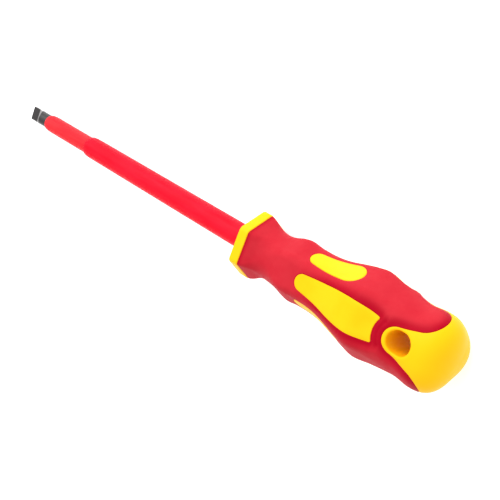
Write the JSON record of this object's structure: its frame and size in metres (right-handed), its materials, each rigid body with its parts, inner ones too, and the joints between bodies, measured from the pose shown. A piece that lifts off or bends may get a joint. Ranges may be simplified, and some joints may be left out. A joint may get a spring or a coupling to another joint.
{
  "type": "insulated screwdriver",
  "caption": "Insulated slotted screwdriver: flat blade in stepped red sleeves, hexagonal yellow hand guard, red soft grip with yellow inlays, domed yellow end with a hanging hole.",
  "frame": {"origin": "on the tool's axis, in the front face of the hexagonal guard, where the insulated shaft leaves the handle", "axes": "+X along the tool's axis towards the blade tip, +Z square to the first of the three broad panels and along the hanging hole, +Y through a corner of the hexagon"},
  "size_m": [0.2588, 0.0396, 0.0367],
  "materials": {
    "blade_steel": "blackened, satin, bright where the grinding ends",
    "inner_sleeve_plastic": "satin",
    "outer_sleeve_plastic": "satin",
    "guard_plastic": "satin",
    "insert_plastic": "plain",
    "core_plastic": "plain",
    "grip_rubber": "matte, soft touch",
    "end_cap_plastic": "satin",
    "panel_plastic": "satin",
    "pad_plastic": "satin"
  },
  "bodies": {
    "root": {"blade": "blade_steel", "inner_sleeve": "inner_sleeve_plastic", "outer_sleeve": "outer_sleeve_plastic", "guard_ring": "guard_plastic", "core_insert": "insert_plastic", "handle_core": "core_plastic", "soft_grip": "grip_rubber", "end_cap": "end_cap_plastic", "panel_1": "panel_plastic", "panel_2": "panel_plastic", "panel_3": "panel_plastic", "finger_pad_1": "pad_plastic", "finger_pad_2": "pad_plastic", "finger_pad_3": "pad_plastic"}
  },
  "joints": []
}
